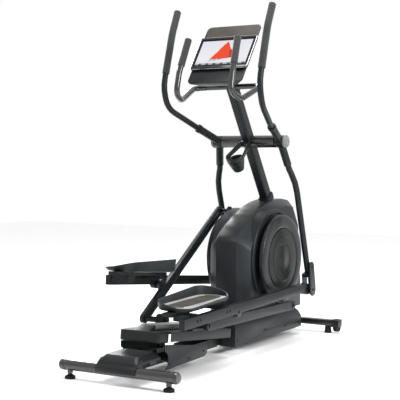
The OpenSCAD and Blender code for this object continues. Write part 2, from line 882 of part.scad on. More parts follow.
module console_shell() {
    color("dimgray") at_middle() difference() {
        union() {
            on_console() difference() {
                hull() {
                    console_plate(312, -190, 183, 4, 6, 24);
                    console_plate(226, -168, 130, 54, 3, 30);
                }
                console_plate(284, -100, 92, 0, 30, 10);
            }
            // Hinge lug
            yz_cyl(console_hinge, -16, 32, 36);
            on_console() translate([-15, 50, -70]) cube([30, 28, 36]);
        }
        yz_cyl(console_hinge, -30, 60, 12 + 2 * fit);
        both_sides() yz_cyl(console_hinge, 16.4, 8, 42);
    }
}

module console_bezel() {
    color("black") at_middle() on_console() difference() {
        console_plate(328, -109, 102, -8, 12, 14);
        console_plate(screen_width, -screen_height / 2, screen_height / 2,
                      -9, 40, 4);
    }
}

module console_screen() {
    color("lightskyblue") at_middle() on_console()
        console_plate(screen_width, -screen_height / 2, screen_height / 2,
                      -5, 9, 4);
}

// ---- Swinging arms ---------------------------------------------------------------------
module on_leg(s) { sided(s) on_link(pivot_c, leg_turn(s)) children(); }

hub_mid = (hub_inner_x + hub_outer_x) / 2;
arm_socket = [215, -142, 116];
leg_socket = [205, 6, -130];
grip_start = [272, -278, 444];
leg_end = [leg_x, 22, -735];
grip_bend = [270, -160, 626];
hub_c = [hub_mid, 0, 0];
// Each tube leaves its socket, or enters its grip, in a straight line.
arm_start = arm_socket + unit(arm_socket - hub_c) * 24;
leg_start = leg_socket + unit(leg_socket - hub_c) * 24;
arm_top = grip_start - unit(grip_bend - grip_start) * 77;

module pivot_hub(s) {
    color("dimgray") at_middle() on_leg(s) difference() {
        union() {
            x_cyl(hub_inner_x, hub_outer_x - hub_inner_x, 64);
            rod(hub_c, arm_socket, 40);
            rod(hub_c, leg_socket, 40);
        }
        x_cyl(hub_inner_x - 20, 100, shaft_d + 2 * fit);
        // Keeps clear of the end cap and of the cross bar
        x_cyl(hub_outer_x, 60, end_cap_d + 4);
        x_cyl(hub_inner_x - 60, 60, crossbar_d + 4);
    }
}
module pivot_hub_left() { pivot_hub(-1); }
module pivot_hub_right() { pivot_hub(1); }

module upper_arm(s) {
    color("darkslategray") at_middle() on_leg(s)
        bent_tube([arm_socket, arm_start, [269, -316, 270], arm_top, grip_start],
                  arm_tube_d, [60, 110, 150]);
}
module upper_arm_left() { upper_arm(-1); }
module upper_arm_right() { upper_arm(1); }

module hand_grip(s) {
    color("black") at_middle() on_leg(s) {
        bent_tube([grip_start, grip_bend, [270, -74, 724]], grip_d, [300]);
    }
}
module hand_grip_left() { hand_grip(-1); }
module hand_grip_right() { hand_grip(1); }

module lower_leg(s) {
    color("darkslategray") at_middle() on_leg(s) {
        // Bends outwards at the top, so that it passes the roller arm
        bent_tube([leg_socket, leg_start, [leg_x - 2, 9, -225], leg_end],
                  arm_tube_d + 2, [60, 300]);
        // Fork round the pedal arm's eye
        gap = pedal_bar_width / 2 + 1;
        translate([leg_x - gap - clevis_wall, -14, leg_end[2] - 14])
            cube([2 * (gap + clevis_wall), 56, 16]);
        for (x = [leg_x - gap - clevis_wall, leg_x + gap]) stand(x, clevis_wall) {
            translate([0, -leg_length]) circle(r = 24);
            polygon([[-24, -leg_length], [-14, leg_end[2] - 10],
                     [42, leg_end[2] - 10], [24, -leg_length]]);
        }
        translate([0, 0, -leg_length])
            x_cyl(leg_x - gap - clevis_wall, 2 * (gap + clevis_wall), pin_d);
    }
}
module lower_leg_left() { lower_leg(-1); }
module lower_leg_right() { lower_leg(1); }

// Points of a round end from angle a0 to a1.
function round_end(c, r, a0, a1) =
    [for (i = [0 : 16]) let (a = a0 + (a1 - a0) * i / 16)
        c + r * [cos(a), sin(a)]];
module leg_cover(s) {
    x = leg_x + pedal_bar_width / 2 + 1 + clevis_wall;
    color("gray") at_middle() on_leg(s)
        stand(x, 10) polygon(concat(
            round_end([2, -leg_length], 34, 180, 360),
            round_end([20, -leg_length + 125], 27, 0, 180)));
}
module leg_cover_left() { leg_cover(-1); }
module leg_cover_right() { leg_cover(1); }

// ---- Pedal arms and roller arms ----------------------------------------------------------
module on_pedal_arm(s) {
    sided(s) on_link(mid_joint(side_angle(s)), pedal_turn(s)) children();
}
module on_roller_arm(s) {
    sided(s) on_link(roller_at(side_angle(s)), roller_turn(s)) children();
}
bar_rise = 18;
bar_low = bar_rise - bar_height / 2;
// Each pedal bar ends behind its pedal, where the pedal hides the left one.
function bar_rear(s) = s > 0 ? -495 : -400;
tray_middle = -28 - pedal_length / 2;
tray_low = bar_rise + bar_height / 2 + 21;
tray_x = 155;
beam_low = tray_low - 18;

module pedal_arm(s) {
    color("darkslategray") at_middle() on_pedal_arm(s) {
        difference() {
            union() {
                stand(pedal_bar_x, pedal_bar_width) {
                    translate([bar_rear(s), bar_low])
                        square([pedal_link_length - bar_rear(s) - 40, bar_height]);
                    polygon([[pedal_link_length - 110, bar_low],
                             [pedal_link_length - 40, -22],
                             [pedal_link_length, -22], [pedal_link_length, 22],
                             [pedal_link_length - 40, bar_low + bar_height]]);
                    translate([pedal_link_length, 0]) circle(r = 22);
                    circle(r = 24);
                }
                // Carrier under the pedal
                translate([tray_x - 25, tray_middle - pedal_length / 2 - 26, beam_low])
                    cube([50, pedal_length - 10, 18]);
                // Cross brackets, with the rear one as a clamp
                translate([tray_x - 25, tray_middle - 150, bar_low + 16])
                    cube([pedal_bar_x - tray_x + 26, 56, beam_low - bar_low - 15.9]);
                translate([tray_x - 25, tray_middle + 120, bar_low + 34])
                    cube([pedal_bar_x - tray_x + 26, 50, beam_low - bar_low - 33.9]);
            }
            translate([0, pedal_link_length, 0]) x_cyl(200, 80, pin_d + 2 * fit);
        }
        // Pin of the middle joint with its retaining head
        x_cyl(roller_bar_x - pass_gap, pedal_bar_x - roller_bar_x + pass_gap, pin_d);
        x_cyl(roller_bar_x - pass_gap - 4, 4, 30);
    }
}
module pedal_arm_left() { pedal_arm(-1); }
module pedal_arm_right() { pedal_arm(1); }

module pedal_tray(s) {
    floor_t = 8;
    rim = 62;
    color("gray") at_middle() on_pedal_arm(s)
        translate([tray_x, tray_middle, tray_low]) difference() {
            linear_extrude(rim) rotate(90) rounded(pedal_length, pedal_width, 50);
            translate([0, 0, floor_t]) linear_extrude(rim)
                rotate(90) rounded(pedal_length - 16, pedal_width - 16, 42);
            // The rim falls towards the outside and the rear
            translate([-120, 0, rim]) rotate([2, 13, 0])
                translate([-20, -300, 0]) cube([400, 600, 100]);
        }
}
module pedal_tray_left() { pedal_tray(-1); }
module pedal_tray_right() { pedal_tray(1); }

module pedal_pad(s) {
    color("silver") at_middle() on_pedal_arm(s)
        translate([tray_x, tray_middle, tray_low + 8]) linear_extrude(pad_thickness)
            rotate(90) rounded(pedal_length - 20, pedal_width - 20, 40);
}
module pedal_pad_left() { pedal_pad(-1); }
module pedal_pad_right() { pedal_pad(1); }

module roller_arm(s) {
    axle_d = 18;
    color("darkslategray") at_middle() on_roller_arm(s) {
        difference() {
            stand(roller_bar_x, roller_bar_width) {
                translate([0, -bar_height / 2])
                    square([roller_arm_length, bar_height]);
                circle(d = bar_height);
                translate([roller_arm_length, 0]) circle(d = bar_height);
                translate([mid_joint_along, mid_joint_above]) circle(r = 23);
                translate([mid_joint_along - 23, 0])
                    square([46, mid_joint_above]);
            }
            translate([0, mid_joint_along, mid_joint_above])
                x_cyl(roller_bar_x - 10, roller_bar_width + 20, pin_d + 2 * fit);
            translate([0, roller_arm_length, 0])
                x_cyl(roller_bar_x - 10, roller_bar_width + 20, pin_d + 2 * fit);
        }
        // Bearing cap over the open end
        translate([0, roller_arm_length, 0])
            x_cyl(roller_bar_x + roller_bar_width, 3, 40);
        // Roller axle with its spacer and end washer
        x_cyl(roller_x - 5, roller_bar_x - roller_x + 6, axle_d);
        x_cyl(roller_x + roller_width + 1, roller_bar_x - roller_x - roller_width,
              28);
        x_cyl(roller_x - 5, 4, 28);
    }
}
module roller_arm_left() { roller_arm(-1); }
module roller_arm_right() { roller_arm(1); }

module ramp_roller(s) {
    color("black") at_middle() on_roller_arm(s) difference() {
        x_cyl(roller_x, roller_width, roller_d);
        x_cyl(roller_x - 10, roller_width + 20, 18 + 2 * fit);
    }
}
module ramp_roller_left() { ramp_roller(-1); }
module ramp_roller_right() { ramp_roller(1); }

base_frame();
rear_stabiliser();
front_stabiliser();
tube_end_caps();
wheel_forks();
front_feet();
rear_frame_cover();
rear_side_covers();
front_side_covers();
housing_left();
housing_right();
housing_spine();
upright_post();
crossbar();
bottle_holder();
fixed_handlebar();
handlebar_grips();
crank_bearings();
lift_motor();
power_inlet();
drive_belt();
crank_axle();
crank_arm_left();
crank_arm_right();
crank_discs();
disc_covers();
drive_pulley();
flywheel();
ramp_deck();
ramp_strip();
ramp_end_cap();
console_shell();
console_bezel();
console_screen();
levelling_foot_left();
levelling_foot_right();
transport_wheel_left();
transport_wheel_right();
upper_arm_left();
upper_arm_right();
hand_grip_left();
hand_grip_right();
pivot_hub_left();
pivot_hub_right();
lower_leg_left();
lower_leg_right();
leg_cover_left();
leg_cover_right();
pedal_arm_left();
pedal_arm_right();
pedal_tray_left();
pedal_tray_right();
pedal_pad_left();
pedal_pad_right();
roller_arm_left();
roller_arm_right();
ramp_roller_left();
ramp_roller_right();
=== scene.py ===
# %% [markdown]
# # An elliptical trainer, finished over its measured frame
# The machine stands on two cross tubes. A leaning post carries a cross bar, and
# two swinging arms hang from it and push two pedals, whose roller arms run up
# and down a ramp. The measured model already has every part in its place and on
# its joint. This lesson gives the parts their moulded edges, their finishes and
# the small pieces that a maker adds last, such as screws, ribs and trim.

# %% Load the measured model
import bpy, bmesh, json, math
from mathutils import Matrix, Vector


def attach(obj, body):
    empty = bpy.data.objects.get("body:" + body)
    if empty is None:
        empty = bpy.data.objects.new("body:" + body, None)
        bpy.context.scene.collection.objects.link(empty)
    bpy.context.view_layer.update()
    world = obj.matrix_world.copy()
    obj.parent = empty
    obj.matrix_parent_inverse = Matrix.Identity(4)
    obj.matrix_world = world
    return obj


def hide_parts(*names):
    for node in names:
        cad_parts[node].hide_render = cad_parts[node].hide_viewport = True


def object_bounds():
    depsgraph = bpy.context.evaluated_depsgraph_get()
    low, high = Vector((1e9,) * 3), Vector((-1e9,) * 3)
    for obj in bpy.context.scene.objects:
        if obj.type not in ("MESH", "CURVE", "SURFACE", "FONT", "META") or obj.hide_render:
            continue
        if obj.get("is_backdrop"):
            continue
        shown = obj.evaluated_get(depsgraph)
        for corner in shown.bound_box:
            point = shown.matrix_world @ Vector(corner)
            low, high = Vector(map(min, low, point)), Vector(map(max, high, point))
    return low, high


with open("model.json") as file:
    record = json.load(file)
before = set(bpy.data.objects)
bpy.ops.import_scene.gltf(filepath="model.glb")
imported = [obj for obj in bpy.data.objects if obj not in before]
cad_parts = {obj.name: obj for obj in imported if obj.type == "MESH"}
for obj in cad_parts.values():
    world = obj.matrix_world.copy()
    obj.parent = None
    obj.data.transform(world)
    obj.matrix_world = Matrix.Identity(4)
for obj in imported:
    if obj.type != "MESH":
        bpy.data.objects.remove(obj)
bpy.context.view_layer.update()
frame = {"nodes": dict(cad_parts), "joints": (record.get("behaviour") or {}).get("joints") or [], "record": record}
record = frame["record"]
joints = {j["name"]: Vector(j["pos_m"]) for j in frame["joints"]}
body_of = {n: b for b, ns in record["behaviour"]["bodies"].items() for n in ns}

# %% [markdown]
# ## Camera and studio
# A long lens from behind the right pedal shows the whole side, as in a shop
# picture. The studio is a pale floor under an even white sky, with one large
# lamp on the right, one overhead and a narrow one behind, so that dark plastic
# shows its edges. The camera comes first, because every later choice is judged
# through it.

# %% Camera
AZIMUTH, ELEVATION = math.radians(30.8), math.radians(2.57)
camera = bpy.data.objects.new("camera", bpy.data.cameras.new("camera"))
bpy.context.scene.collection.objects.link(camera)
# Y runs forward from the rear cross tube; MID moves it to the machine's middle.
MID = 1.270 - joints["crank_spin"].y
camera.location = (2.636, -3.7266 - MID, 1.009)
look = Vector((-math.sin(AZIMUTH) * math.cos(ELEVATION),
               math.cos(AZIMUTH) * math.cos(ELEVATION), -math.sin(ELEVATION)))
camera.rotation_euler = look.to_track_quat("-Z", "Y").to_euler()
camera.data.lens, camera.data.sensor_width = 95.0, 36.0
bpy.context.scene.camera = camera

# %% Lamps and sky
# The Standard transform shows a paint's hex value as it was chosen.
bpy.context.scene.view_settings.view_transform = "Standard"
sky = bpy.data.worlds.new("studio_sky")
sky.use_nodes = True
sky.node_tree.nodes["Background"].inputs["Color"].default_value = (1, 1, 1, 1)
sky.node_tree.nodes["Background"].inputs["Strength"].default_value = 1.0
bpy.context.scene.world = sky


def lamp(name, place, target, size, watts):
    """A square soft box at a place, turned to its target."""
    data = bpy.data.lights.new(name, "AREA")
    data.size, data.energy = size, watts
    box = bpy.data.objects.new(name, data)
    box.location = place
    box.rotation_euler = (Vector(target) - Vector(place)).to_track_quat("-Z", "Y").to_euler()
    bpy.context.scene.collection.objects.link(box)
    return box


lamp("side_box", (4.2, -0.6, 2.4), (0, 0, 0.8), 1.6, 150)
lamp("top_box", (0.3, -0.3, 4.2), (0, 0, 0.5), 2.2, 140)
lamp("back_box", (-3.2, 2.6, 2.6), (0, 0, 0.9), 1.2, 110)

# %% [markdown]
# ## Helpers for colours and node trees
# Paint charts give sRGB hex values, while a shader works in linear light, so one
# function turns the first into the second. One more adds a node, sets it up and
# joins it to the nodes before it. Every material and every Geometry Nodes tree
# below is made with those two.

# %% Colours and nodes


def linear(hex_code):
    """An sRGB hex value as linear red, green, blue and alpha."""
    parts = [int(hex_code[i:i + 2], 16) / 255 for i in (1, 3, 5)]
    return [p / 12.92 if p <= 0.04045 else ((p + 0.055) / 1.055) ** 2.4
            for p in parts] + [1.0]


def add(tree, kind, links=None, **settings):
    """A new node with its settings, its values and the sockets it reads."""
    node = tree.nodes.new(kind)
    for key, value in settings.items():
        setattr(node, key, value)
    for name, source in (links or {}).items():
        if isinstance(source, bpy.types.NodeSocket):
            tree.links.new(source, node.inputs[name])
        else:
            node.inputs[name].default_value = source
    return node


print("charcoal in linear light:", [round(v, 4) for v in linear("#2a2d2f")])

# %% [markdown]
# ## Finishes
# Most of the machine is powder-coated steel or moulded ABS. Both are dark, and
# what tells them apart is how they scatter light: powder coat has a fine orange
# peel, ABS a sand-like grain from its mould. One recipe makes them all: two near
# tones that drift over a hand's width, and a grain that moves both the relief
# and the roughness. The real grain is under 0.5 mm, which is finer than a
# picture of the whole machine can hold, so it is drawn at 1 to 4 mm.

# %% The recipe for a grained finish


def grained(name, deep, light, roughness, grain_mm, relief_mm, drift_mm=120,
            streak=(1, 1, 1), **shell):
    """Two tones that drift, with a grain of the given size in relief."""
    mat = bpy.data.materials.new(name)
    mat.use_nodes = True
    tree = mat.node_tree
    tree.nodes.clear()
    place = add(tree, "ShaderNodeTexCoord").outputs["Object"]
    drawn = add(tree, "ShaderNodeMapping", {"Vector": place, "Scale": streak}).outputs[0]
    drift = add(tree, "ShaderNodeTexNoise", {
        "Vector": place, "Scale": 1000 / drift_mm, "Detail": 3.0}).outputs["Fac"]
    spread = add(tree, "ShaderNodeMapRange", {
        "Value": drift, "From Min": 0.3, "From Max": 0.7}).outputs[0]
    tone = add(tree, "ShaderNodeMix", {0: spread, 6: linear(deep), 7: linear(light)},
               data_type="RGBA").outputs[2]
    grain = add(tree, "ShaderNodeTexNoise", {
        "Vector": drawn, "Scale": 1000 / grain_mm, "Detail": 2.0}).outputs["Fac"]
    relief = add(tree, "ShaderNodeBump", {
        "Height": grain, "Distance": relief_mm / 1000, "Strength": 1.0}).outputs[0]
    rough = add(tree, "ShaderNodeMapRange", {
        "Value": grain, "From Min": 0.3, "From Max": 0.7,
        "To Min": roughness - 0.05, "To Max": roughness + 0.05}).outputs[0]
    values = {key.replace("_", " "): value for key, value in shell.items()}
    # A grained skin hides most of its mirror, so its reflection is set low.
    values.setdefault("Specular IOR Level", 0.5 if "Metallic" in values else 0.22)
    shader = add(tree, "ShaderNodeBsdfPrincipled", {
        "Base Color": tone, "Roughness": rough, "Normal": relief, **values})
    add(tree, "ShaderNodeOutputMaterial", {"Surface": shader.outputs[0]})
    return mat


# %% Painted steel
# Satin charcoal powder coat, sprayed and baked: soft highlights, faint orange peel.
powder_coat = grained("satin_powder_coat", "#101315", "#171a1c", 0.36, 3.0, 0.04)
# Gloss black powder coat: a clear skin that shows the lamps as bright streaks.
gloss_coat = grained("gloss_powder_coat", "#0e0f10", "#151617", 0.30, 4.0, 0.02,
                     Specular_IOR_Level=0.4, Coat_Weight=0.7, Coat_Roughness=0.12)
print("painted", powder_coat.name, gloss_coat.name)

# %% Moulded plastics
# Slate ABS of the housing sides: matt, a little blue, brighter where it faces up.
slate_abs = grained("slate_abs", "#15191c", "#1c2023", 0.42, 2.0, 0.05)
# Charcoal ABS of the spine, the ramp and the console back.
charcoal_abs = grained("charcoal_abs", "#111516", "#181b1c", 0.40, 2.0, 0.05)
# Grey ABS of the lower covers and pedal trays, with the same sand grain.
grey_abs = grained("grey_abs", "#161a1b", "#1e2224", 0.40, 2.0, 0.05)
# Light grey polypropylene of the cross bar's end caps.
light_cap = grained("light_grey_pp", "#6a6c6c", "#777979", 0.5, 2.0, 0.04)
# Warm grey ABS hood over the display.
hood_abs = grained("warm_grey_abs", "#37342f", "#423e39", 0.5, 2.0, 0.05)
# Piano black acrylic of the display's bezel: deep and mirror-like.
piano_black = grained("piano_black_acrylic", "#08090a", "#0d0e0f", 0.16, 5.0, 0.005,
                      Coat_Weight=0.5, Coat_Roughness=0.06)
# Darker grey ABS of the crank discs, under a thin clear coat.
disc_abs = grained("disc_abs", "#121618", "#191d1f", 0.36, 2.0, 0.02, Coat_Weight=0.1)
# Pedal tray ABS, a little softer and smoother than the covers.
tray_abs = grained("tray_abs", "#1d2122", "#262a2b", 0.40, 2.0, 0.04)
# Satin black ABS of the disc dishes: smooth, but not a mirror.
dish_abs = grained("satin_black_abs", "#07090a", "#0b0d0e", 0.34, 3.0, 0.008)
print("moulded", slate_abs.name, charcoal_abs.name, grey_abs.name)

# %% Rubber and metal
# Moulded nitrile grip rubber: dull, with a soft bloom at grazing angles.
grip_rubber = grained("moulded_grip_rubber", "#1b1d1e", "#232526", 0.6, 2.5, 0.12,
                      Sheen_Weight=0.25, Sheen_Roughness=0.5)
# Hard black rubber of feet and tyres.
hard_rubber = grained("hard_rubber", "#131313", "#1b1b1b", 0.7, 3.0, 0.1)
# Brown-grey thermoplastic rubber of the foot pads' middle, pebbled for hold.
pad_rubber = grained("pebbled_pad_rubber", "#3a3733", "#48443f", 0.6, 4.0, 0.35)
# Silver-white thermoplastic rubber of the pads' toothed border.
border_rubber = grained("silver_border_rubber", "#9a9b99", "#b4b5b3", 0.5, 3.0, 0.08)
# Zinc-plated steel of screws and pins, turned and plated.
zinc_steel = grained("zinc_plated_steel", "#7c7e80", "#8f9193", 0.32, 1.5, 0.01,
                     Metallic=1.0)
# Black-oxide screws, oiled: dark metal with a dull shine.
black_screw = grained("black_oxide_steel", "#1c1d1e", "#28292b", 0.4, 1.5, 0.01,
                      Metallic=0.6)
# Satin anodised aluminium of the ramp's strip, brushed along its length.
anodised = grained("satin_anodised_aluminium", "#7f8080", "#929392", 0.42, 1.2, 0.012,
                   streak=(1, 0.03, 0.5), Metallic=0.65)
# Chrome-plated trim round the display: bright, smooth and thin.
chrome = grained("chrome_plated_trim", "#c4c6c8", "#d2d4d5", 0.12, 2.0, 0.003,
                 Metallic=1.0)
# Grey cast iron of the flywheel, machined on its rim.
cast_iron = grained("machined_cast_iron", "#4a4b4c", "#5a5b5c", 0.45, 2.0, 0.05,
                    Metallic=0.8)
print("materials", len(bpy.data.materials))

# %% [markdown]
# ## Moulded edges
# A moulded cover or a folded steel bar has no knife edge: its radius of 1 to
# 6 mm catches a thin line of light, and that line is what makes it read as
# real. Each measured part with sharp edges is copied, its loose triangles are
# merged and joined into whole faces again, and a Bevel rounds what is left. The
# copy stands for the measured part, which itself is never touched.

# %% Copy a part and round its edges


def new_piece(name, mesh, body, stands_for=()):
    """A finished mesh as an object that rides on its body."""
    obj = bpy.data.objects.new(name, mesh)
    bpy.context.scene.collection.objects.link(obj)
    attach(obj, body)
    if stands_for:
        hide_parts(*stands_for)
    return obj


def soften(node, edge_mm, material, choose=None, others=(), angle=32, segments=2):
    """Copy a node, merge its triangles and round its edges."""
    bm = bmesh.new()
    bm.from_mesh(frame["nodes"][node].data)
    bmesh.ops.remove_doubles(bm, verts=bm.verts, dist=2e-5)
    bmesh.ops.dissolve_limit(bm, angle_limit=math.radians(0.8), verts=bm.verts,
                             edges=bm.edges)
    mesh = bpy.data.meshes.new(node + "_moulded")
    for m in (material, *others):
        mesh.materials.append(m)
    for f in bm.faces:
        f.smooth = True
        f.material_index = choose(f.calc_center_median(), f.normal) if choose else 0
    bm.to_mesh(mesh)
    bm.free()
    obj = new_piece(node + "_moulded", mesh, body_of[node], [node])
    if edge_mm:
        bevel = obj.modifiers.new("moulded_edge", "BEVEL")
        bevel.width, bevel.segments = edge_mm / 1000, segments
        bevel.limit_method, bevel.angle_limit = "ANGLE", math.radians(angle)
        bevel.harden_normals = True
    else:
        mesh.set_sharp_from_angle(angle=math.radians(angle))
    return obj


# %% Covers and housing
soften("rear_frame_cover", 4.0, charcoal_abs)
soften("rear_side_covers", 1.5, grey_abs)
soften("front_side_covers", 3.0, grey_abs)
soften("housing_left", 5.0, slate_abs, segments=3)
soften("housing_right", 5.0, slate_abs, segments=3)
soften("housing_spine", 4.0, charcoal_abs)
soften("ramp_deck", 2.5, grey_abs)
soften("ramp_end_cap", 6.0, charcoal_abs, segments=3)
soften("ramp_strip", 5.0, anodised, segments=3)
print("covers done")

# %% Steelwork
for side in ("left", "right"):
    soften("upper_arm_" + side, 0, powder_coat)
    soften("lower_leg_" + side, 0, powder_coat)
    soften("pivot_hub_" + side, 2.0, powder_coat)
    soften("pedal_arm_" + side, 2.5, powder_coat)
    soften("roller_arm_" + side, 2.5, powder_coat)
    soften("crank_arm_" + side, 2.0, powder_coat)
    soften("leg_cover_" + side, 3.0, grey_abs)
soften("fixed_handlebar", 0, gloss_coat)
soften("wheel_forks", 3.0, charcoal_abs)
soften("tube_end_caps", 2.5, light_cap, others=[gloss_coat],
       choose=lambda c, n: 0 if c.z > 0.5 else 1)
print("steelwork done")

# %% Console shell
# The hood over the display is a warmer grey than the chin under it.
CONSOLE_LEAN = math.radians(-35.8)
HOOD_FROM = 0.098
CONSOLE = (Matrix.Translation((0, 0.934 - MID, 1.512))
           @ Matrix.Rotation(CONSOLE_LEAN, 4, "X"))
to_console = CONSOLE.inverted()
soften("console_shell", 7.0, charcoal_abs, others=[hood_abs], segments=3,
       choose=lambda c, n: 1 if (to_console @ c).z > HOOD_FROM else 0)
soften("console_bezel", 1.5, piano_black)
print("console at", [round(v, 3) for v in CONSOLE.translation])

# %% Parts whose measured shape is already right
plain = {"base_frame": powder_coat, "rear_stabiliser": gloss_coat,
         "front_stabiliser": gloss_coat, "front_feet": hard_rubber,
         "upright_post": powder_coat, "crossbar": gloss_coat,
         "crank_bearings": zinc_steel, "lift_motor": gloss_coat,
         "power_inlet": charcoal_abs, "drive_belt": hard_rubber,
         "crank_axle": zinc_steel, "drive_pulley": charcoal_abs,
         "flywheel": cast_iron, "console_screen": piano_black,
         "levelling_foot_left": hard_rubber, "levelling_foot_right": hard_rubber,
         "transport_wheel_left": hard_rubber, "transport_wheel_right": hard_rubber,
         "ramp_roller_left": hard_rubber, "ramp_roller_right": hard_rubber}
for node, material in plain.items():
    data = frame["nodes"][node].data
    data.materials.clear()
    data.materials.append(material)
print("kept", len(plain), "measured parts")

# %% [markdown]
# ## Two Geometry Nodes trees
# A tube, a grip, a rib and a trim line are all a round section run along a path,
# and one tree makes them: a chain of points becomes a curve, and a circle runs
# along it with the girth stored on each point. A screw is one small head set at
# many places, and the second tree does that: it turns each head to the direction
# stored on its point. Both end in real mesh with a material, so nothing depends
# on the modifier afterwards.

# %% Tree 1: a round section along a path


def open_tree(name, inputs):
    """An empty Geometry Nodes tree with named inputs, and its group nodes."""
    tree = bpy.data.node_groups.new(name, "GeometryNodeTree")
    tree.interface.new_socket("Geometry", in_out="INPUT", socket_type="NodeSocketGeometry")
    tree.interface.new_socket("Geometry", in_out="OUTPUT", socket_type="NodeSocketGeometry")
    for label, kind in inputs:
        tree.interface.new_socket(label, in_out="INPUT", socket_type=kind)
    return tree, add(tree, "NodeGroupInput"), add(tree, "NodeGroupOutput")


run_tree, given, result = open_tree("round_section_along_path", [
    ("Sides", "NodeSocketInt"), ("Closed ends", "NodeSocketBool"),
    ("Finish", "NodeSocketMaterial")])
girth = add(run_tree, "GeometryNodeInputNamedAttribute", {"Name": "girth"})
path = add(run_tree, "GeometryNodeMeshToCurve", {"Mesh": given.outputs["Geometry"]})
ring = add(run_tree, "GeometryNodeCurvePrimitiveCircle", {
    "Resolution": given.outputs["Sides"], "Radius": 1.0})
skin = add(run_tree, "GeometryNodeCurveToMesh", {
    "Curve": path.outputs[0], "Profile Curve": ring.outputs[0],
    "Scale": girth.outputs["Attribute"], "Fill Caps": given.outputs["Closed ends"]})
solid = add(run_tree, "GeometryNodeRealizeInstances", {"Geometry": skin.outputs[0]})
clad = add(run_tree, "GeometryNodeSetMaterial", {
    "Geometry": solid.outputs[0], "Material": given.outputs["Finish"]})
run_tree.links.new(clad.outputs[0], result.inputs["Geometry"])
print("tree", run_tree.name, len(run_tree.nodes), "nodes")

# %% Tree 2: one head at many places
set_tree, given, result = open_tree("heads_at_points", [
    ("Radius", "NodeSocketFloat"), ("Height", "NodeSocketFloat"),
    ("Finish", "NodeSocketMaterial")])
facing = add(set_tree, "GeometryNodeInputNamedAttribute", {"Name": "facing"},
             data_type="FLOAT_VECTOR")
turned = add(set_tree, "FunctionNodeAlignRotationToVector", {
    "Vector": facing.outputs["Attribute"]}, axis="Z")
points = add(set_tree, "GeometryNodeMeshToPoints", {"Mesh": given.outputs["Geometry"]})
washer = add(set_tree, "GeometryNodeMeshCylinder", {
    "Vertices": 16, "Radius": given.outputs["Radius"], "Depth": given.outputs["Height"]})
dome_size = add(set_tree, "ShaderNodeMath", {0: given.outputs["Radius"], 1: 0.72},
                operation="MULTIPLY")
dome = add(set_tree, "GeometryNodeMeshCone", {
    "Vertices": 6, "Radius Top": dome_size.outputs[0], "Radius Bottom": dome_size.outputs[0],
    "Depth": given.outputs["Height"]})
head = add(set_tree, "GeometryNodeJoinGeometry")
set_tree.links.new(washer.outputs[0], head.inputs[0])
set_tree.links.new(dome.outputs[0], head.inputs[0])
placed = add(set_tree, "GeometryNodeInstanceOnPoints", {
    "Points": points.outputs[0], "Instance": head.outputs[0],
    "Rotation": turned.outputs[0]})
solid = add(set_tree, "GeometryNodeRealizeInstances", {"Geometry": placed.outputs[0]})
clad = add(set_tree, "GeometryNodeSetMaterial", {
    "Geometry": solid.outputs[0], "Material": given.outputs["Finish"]})
set_tree.links.new(clad.outputs[0], result.inputs["Geometry"])
print("tree", set_tree.name, len(set_tree.nodes), "nodes")

# %% Run a tree on points and keep the mesh


def grown(name, tree, verts, edges, attributes, inputs, angle=40):
    """The tree's result on a chain or cloud of points, as a plain mesh."""
    seed = bpy.data.meshes.new(name + "_seed")
    seed.from_pydata(verts, edges, [])
    for key, (kind, values) in attributes.items():
        layer = seed.attributes.new(key, kind, "POINT")
        layer.data.foreach_set("vector" if kind == "FLOAT_VECTOR" else "value", values)
    obj = bpy.data.objects.new(name + "_seed", seed)
    bpy.context.scene.collection.objects.link(obj)
    modifier = obj.modifiers.new("growth", "NODES")
    modifier.node_group = tree
    for item in tree.interface.items_tree:
        if item.in_out == "INPUT" and item.name in inputs:
            modifier[item.identifier] = inputs[item.name]
    graph = bpy.context.evaluated_depsgraph_get()
    mesh = bpy.data.meshes.new_from_object(obj.evaluated_get(graph), depsgraph=graph)
    obj.modifiers.remove(modifier)
    bpy.data.objects.remove(obj)
    mesh.name = name
    mesh.shade_smooth()
    mesh.set_sharp_from_angle(angle=math.radians(angle))
    return mesh


def tube(name, pieces, material, sides=16, cyclic=False):
    """Round sections along one or more chains of (point, radius)."""
    verts, edges, radii = [], [], []
    for chain in pieces:
        first = len(verts)
        verts += [tuple(p) for p, r in chain]
        radii += [r for p, r in chain]
        edges += [(first + i, first + i + 1) for i in range(len(chain) - 1)]
        if cyclic:
            edges.append((len(verts) - 1, first))
    return grown(name, run_tree, verts, edges, {"girth": ("FLOAT", radii)},
                 {"Sides": sides, "Closed ends": True, "Finish": material})


def screws(name, places, material, radius_mm=5.5, height_mm=2.4):
    """Screw heads at (point, direction) pairs."""
    ways = [c for p, d in places for c in Vector(d).normalized()]
    return grown(name, set_tree, [tuple(p) for p, d in places], [],
                 {"facing": ("FLOAT_VECTOR", ways)},
                 {"Radius": radius_mm / 1000, "Height": height_mm / 1000 * 2,
                  "Finish": material}, angle=25)


print("growth helpers ready")

# %% [markdown]
# ## Turned and lofted pieces
# Discs are turned shapes: a profile of radius and depth, carried round an axis.
# Trays and pads are lofts: the same outline again and again, pulled in and
# raised. One function skins a stack of rings for both. Its faces are turned
# outwards at the end, after the mesh is closed.

# %% Skin a stack of rings


